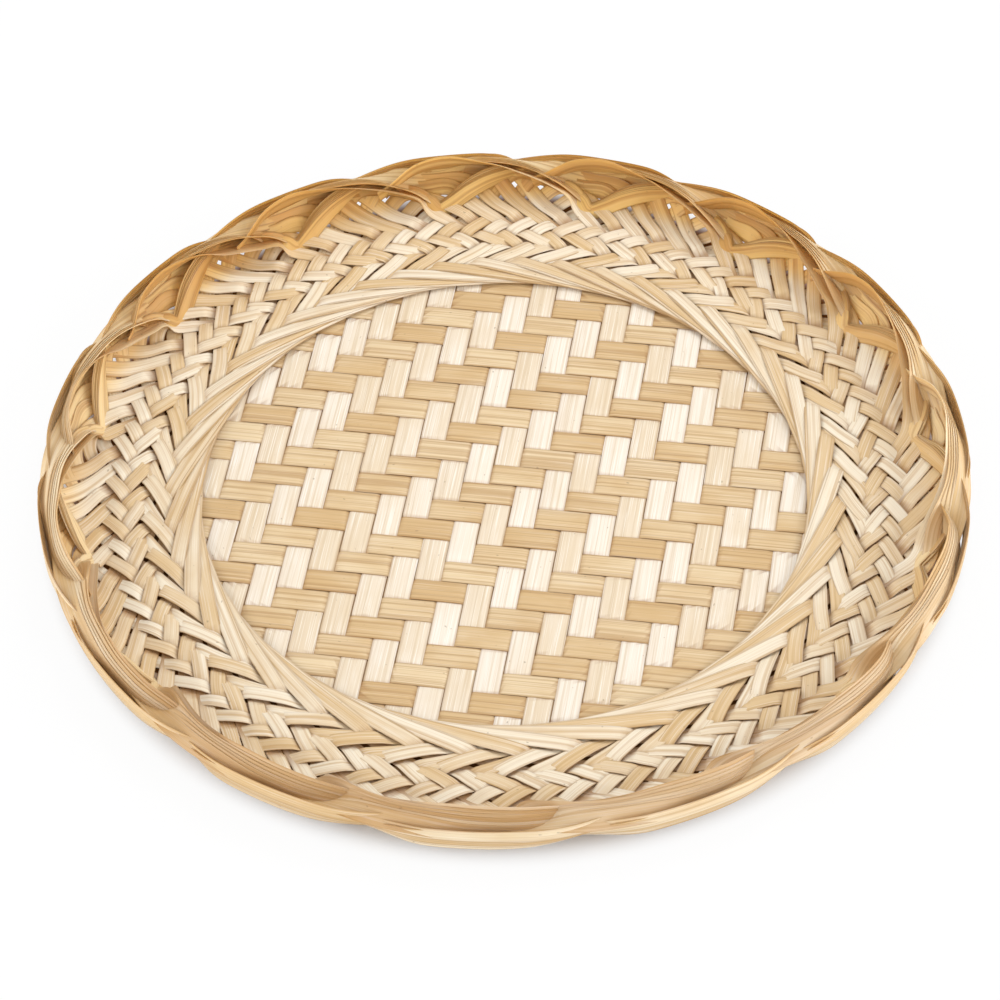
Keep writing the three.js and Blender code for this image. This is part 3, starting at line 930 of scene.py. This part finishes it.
# %% Put the pieces in the frame
for blank in (wall_blank, mat_blank):
    bpy.data.objects.remove(blank)
cad_warps = sorted(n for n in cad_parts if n.startswith("mat_warp"))
cad_wefts = sorted(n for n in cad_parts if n.startswith("mat_weft"))
for n, warp in enumerate(warps):
    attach(warp, "root")
    if n < len(cad_warps):
        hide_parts(cad_warps[n])
for n, weft in enumerate(wefts):
    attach(weft, "root")
    if n < len(cad_wefts):
        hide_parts(cad_wefts[n])
for n, group in enumerate(groups):
    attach(group, "root")
    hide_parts(f"splint_bundle_{n + 1:02d}")
print("riding:", len(warps) + len(wefts) + len(groups))

# %% [markdown]
# The picture has no visible floor: the tray lies on white. A white floor that glows only
# for the camera shows no edge and keeps a faint shadow round the tray. Beneath the tray
# the floor is painted brown as painted shade, because the gaps of a real plait show more
# bamboo in its shade, and a white floor would shine through them.

# %% Floor
WHITE, FLOOR_GREY, TRAY_SHADE = (1, 1, 1, 1), (0.86, 0.86, 0.86, 1), srgb("#8E5F34")
GLOW_FROM = (0.140, 0.152)  # metres from the centre, over which the glow grows to its share
GLOW_SHARE = 0.92
SHADE_END = (0.138, 0.146)  # metres from the shade's middle, over which it ends
SHADE_MIDDLE = (0, 0.004, 0)

bpy.ops.mesh.primitive_plane_add(size=6)
floor = bpy.context.object
floor.name = "floor"
floor_paint = Paint(bpy.data.materials.new("white floor"))
spot = floor_paint.add("ShaderNodeTexCoord", {}, {}, "Object")
reach = floor_paint.add("ShaderNodeVectorMath", {"operation": "LENGTH"}, {0: spot}, "Value")
beneath = floor_paint.add(
    "ShaderNodeVectorMath", {"operation": "DISTANCE"}, {0: spot, 1: SHADE_MIDDLE}, "Value"
)
# Painted shade: the floor brown beneath the tray, its middle shifted 4 mm away from the camera.
covered = floor_paint.mix(floor_paint.ramp(beneath, *SHADE_END), TRAY_SHADE, FLOOR_GREY)
matte = floor_paint.add("ShaderNodeBsdfDiffuse", {}, {"Color": covered})
glow = floor_paint.add("ShaderNodeEmission", {}, {"Color": WHITE, "Strength": 1.0})
seen = floor_paint.add("ShaderNodeLightPath", {}, {}, "Is Camera Ray")
glowing = seen * floor_paint.ramp(reach, *GLOW_FROM) * GLOW_SHARE
floor.data.materials.append(floor_paint.finish(floor_paint.blend(glowing, matte, glow)))
print("floor", floor.name)

# %% [markdown]
# Most of the light is a soft white sky, as in a white tent, which is plain white for the
# camera and for reflections. A key lamp behind on the right draws the edges of the
# splints. Low lamps in front and at both sides shine under the rim, so that its inner
# faces stay golden and don't turn grey.

# %% Light
SKY_LIGHT = 0.71

world_paint = Paint(bpy.data.worlds.new("white room"))
to_camera = world_paint.add("ShaderNodeLightPath", {}, {}, "Is Camera Ray")
to_gloss = world_paint.add("ShaderNodeLightPath", {}, {}, "Is Glossy Ray")
strength = world_paint.add(
    "ShaderNodeMapRange",
    {},
    {"Value": world_paint.maths("MAXIMUM", to_camera, to_gloss), "To Min": SKY_LIGHT, "To Max": 1.0},
)
sky = world_paint.add("ShaderNodeBackground", {}, {"Color": WHITE, "Strength": strength})
bpy.context.scene.world = world_paint.finish(sky, "ShaderNodeOutputWorld")


def lamp(name, turn, elevation, distance, size, watts):
    """A square lamp aimed at the tray, at a turn from the camera's side. Metres and watts."""
    light = bpy.data.lights.new(name, "AREA")
    light.size, light.energy = size, watts
    holder = bpy.data.objects.new(name, light)
    bpy.context.scene.collection.objects.link(holder)
    _, _, away = camera_axes(AZIMUTH + turn, elevation, 0)
    holder.location = away * distance
    holder.rotation_euler = away.to_track_quat("Z", "Y").to_euler()


lamp("key", turn=150, elevation=55, distance=1.6, size=0.5, watts=5)
lamp("front", turn=-5, elevation=16, distance=2.0, size=1.8, watts=10)
lamp("right", turn=80, elevation=15, distance=2.0, size=1.8, watts=38)
lamp("left", turn=-80, elevation=15, distance=2.0, size=1.8, watts=29)
bpy.context.scene.view_settings.view_transform = "Standard"
print("lit by", [light.name for light in bpy.data.lights])
